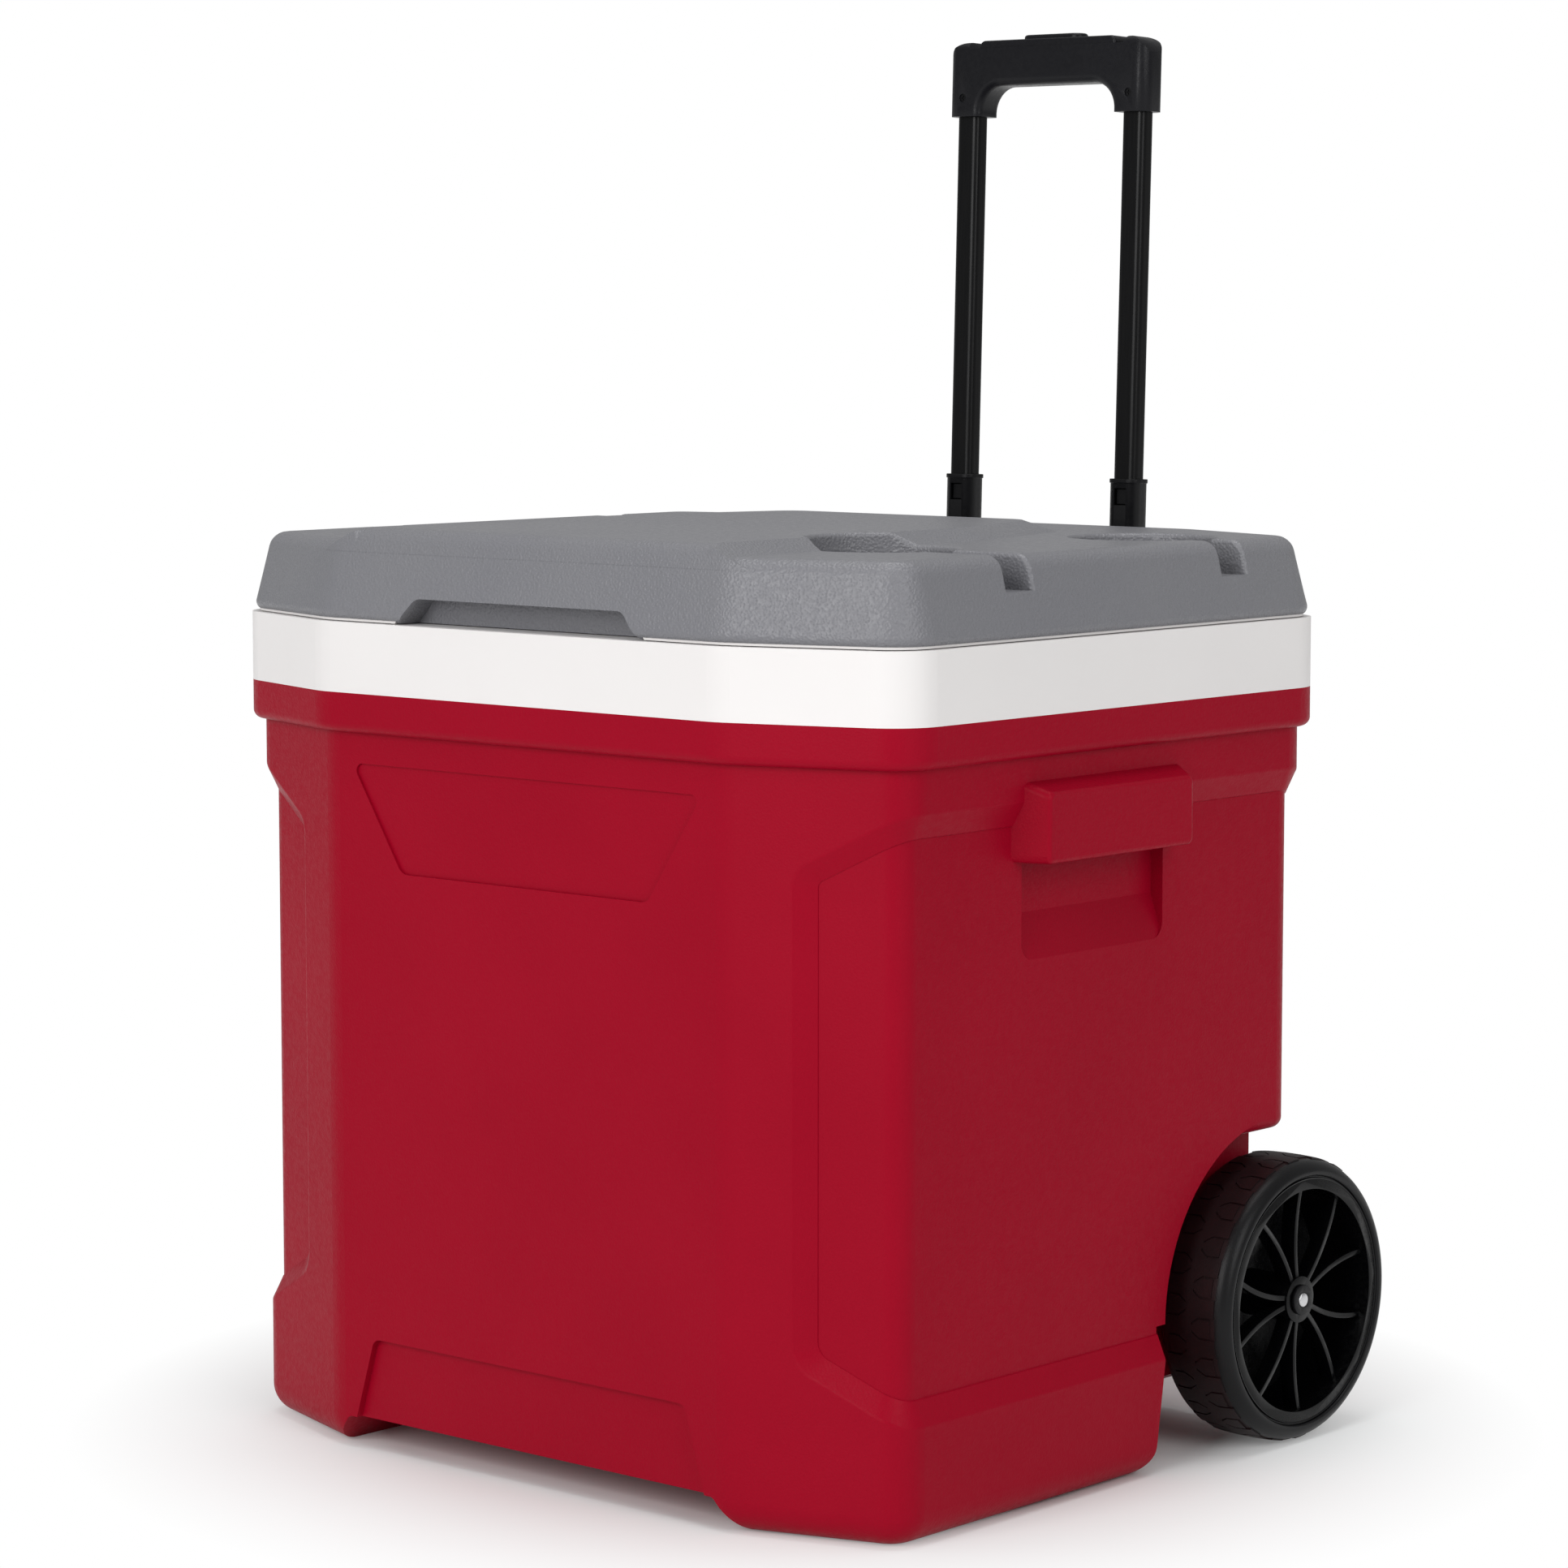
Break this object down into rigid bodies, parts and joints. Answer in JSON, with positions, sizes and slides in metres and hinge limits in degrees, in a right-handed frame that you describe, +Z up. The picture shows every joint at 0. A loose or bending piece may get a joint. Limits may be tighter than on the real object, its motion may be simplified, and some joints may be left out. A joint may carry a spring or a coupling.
{
  "type": "wheeled cooler",
  "caption": "Chest cooler on two rear wheels with a hinged lid, cup holders, moulded side grips and a telescoping tow handle with a release button.",
  "frame": {"origin": "middle of the whole cooler's footprint, on the floor, handle extended", "axes": "+Z up, -Y towards the front, +X to the right as seen from the front"},
  "size_m": [0.512, 0.4728, 0.7912],
  "materials": {
    "red_shell": "satin",
    "white_liner": "satin",
    "grey_lid": "matte",
    "foam": "matte",
    "black_plastic": "satin",
    "grip_plastic": "matte",
    "black_tube": "gloss",
    "wheel_plastic": "gloss",
    "tyre": "matte",
    "bright_steel": "satin"
  },
  "bodies": {
    "chest": {"body_shell": "red_shell", "body_liner": "white_liner", "body_foam": "foam", "hinge_bracket_left": "black_plastic", "hinge_bracket_right": "black_plastic", "hinge_pin_left": "bright_steel", "hinge_pin_right": "bright_steel", "hinge_screws": "bright_steel", "axle": "bright_steel", "axle_bush_left": "black_plastic", "axle_bush_right": "black_plastic", "axle_retainer_left": "black_plastic", "axle_retainer_right": "black_plastic", "handle_sleeve_left": "black_tube", "handle_sleeve_right": "black_tube", "sleeve_foot_left": "black_plastic", "sleeve_foot_right": "black_plastic", "upper_bracket": "black_plastic", "lower_bracket": "black_plastic", "bracket_screws": "bright_steel", "drain_spout": "white_liner", "drain_nut": "white_liner"},
    "lid": {"lid_shell": "grey_lid", "lid_liner": "white_liner", "lid_foam": "foam"},
    "wheel_left": {"wheel_rim_left": "wheel_plastic", "tyre_left": "tyre"},
    "wheel_right": {"wheel_rim_right": "wheel_plastic", "tyre_right": "tyre"},
    "handle_middle": {"middle_tube_left": "black_tube", "middle_tube_right": "black_tube", "middle_foot_left": "black_plastic", "middle_foot_right": "black_plastic", "collar_left": "black_plastic", "collar_right": "black_plastic"},
    "handle_upper": {"upper_tube_left": "black_tube", "upper_tube_right": "black_tube", "upper_foot_left": "black_plastic", "upper_foot_right": "black_plastic", "grip_shell": "grip_plastic", "grip_cover": "grip_plastic", "grip_screws": "black_plastic", "button_spring": "bright_steel"},
    "release_button": {"release_button": "grip_plastic", "release_yoke": "black_plastic", "push_rod_left": "bright_steel", "push_rod_right": "bright_steel"},
    "lock_left": {"lock_tongue_left": "black_plastic"},
    "lock_right": {"lock_tongue_right": "black_plastic"},
    "drain_plug": {"drain_plug": "white_liner"}
  },
  "joints": [
    {"name": "lid_hinge", "type": "hinge", "parent": "chest", "child": "lid", "pos_m": [0, 0.18254, 0.494], "axis": [-1, 0, 0], "range_deg": [0, 92]},
    {"name": "wheel_left_spin", "type": "hinge", "parent": "chest", "child": "wheel_left", "pos_m": [-0.2325, 0.13224, 0.08], "axis": [1, 0, 0], "continuous": true},
    {"name": "wheel_right_spin", "type": "hinge", "parent": "chest", "child": "wheel_right", "pos_m": [0.2325, 0.13224, 0.08], "axis": [1, 0, 0], "continuous": true},
    {"name": "handle_middle_slide", "type": "slide", "parent": "chest", "child": "handle_middle", "axis": [0, 0.0305, 0.9995], "range_m": [-0.1, 0]},
    {"name": "handle_upper_slide", "type": "slide", "parent": "handle_middle", "child": "handle_upper", "axis": [0, 0.0305, 0.9995], "range_m": [-0.212, 0]},
    {"name": "release_button_press", "type": "slide", "parent": "handle_upper", "child": "release_button", "axis": [0, -0.0305, -0.9995], "range_m": [0, 0.005], "stiffness_N_per_m": 600, "springref_m": -0.005, "deforming": ["button_spring"]},
    {"name": "lock_left_slide", "type": "slide", "parent": "handle_upper", "child": "lock_left", "axis": [0, 0.9995, -0.0305], "range_m": [0, 0.0025]},
    {"name": "lock_right_slide", "type": "slide", "parent": "handle_upper", "child": "lock_right", "axis": [0, 0.9995, -0.0305], "range_m": [0, 0.0025]},
    {"name": "drain_plug_pull", "type": "slide", "parent": "chest", "child": "drain_plug", "axis": [0, 1, 0], "range_m": [0, 0.03]}
  ],
  "couplings": [
    {"joint": "lock_left_slide", "follows": "release_button_press", "ratio": 0.5},
    {"joint": "lock_right_slide", "follows": "release_button_press", "ratio": 0.5}
  ]
}
